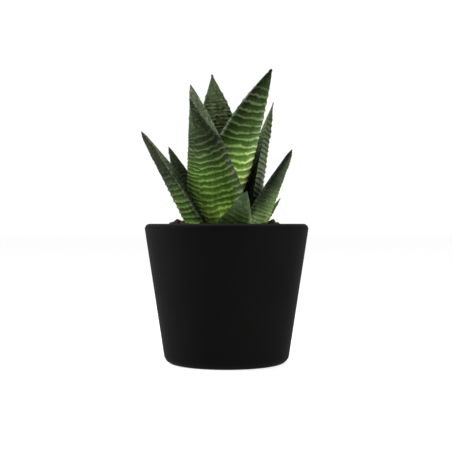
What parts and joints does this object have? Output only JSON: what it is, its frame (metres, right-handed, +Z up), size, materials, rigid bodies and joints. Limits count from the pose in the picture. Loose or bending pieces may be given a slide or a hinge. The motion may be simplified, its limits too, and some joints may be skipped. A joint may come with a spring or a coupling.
{
  "type": "potted haworthia",
  "caption": "Small succulent with thick pointed ridged leaves in a rosette, standing in bark soil in a tapered round matt black pot.",
  "frame": {"origin": "middle of the pot's foot, on the surface it stands on", "axes": "+Z up along the pot's axis; -Y towards the front, where the picture was taken from; +X to the right in the picture"},
  "size_m": [0.0813, 0.0802, 0.145],
  "materials": {
    "pot": "matte",
    "soil": "matte",
    "stem": "matte",
    "leaf": "satin"
  },
  "bodies": {
    "root": {"pot": "pot", "soil": "soil", "stem": "stem", "leaf_01": "leaf", "leaf_02": "leaf", "leaf_03": "leaf", "leaf_04": "leaf", "leaf_05": "leaf", "leaf_06": "leaf", "leaf_07": "leaf", "leaf_08": "leaf", "leaf_09": "leaf", "leaf_10": "leaf", "leaf_11": "leaf", "leaf_12": "leaf", "leaf_13": "leaf"}
  },
  "joints": []
}
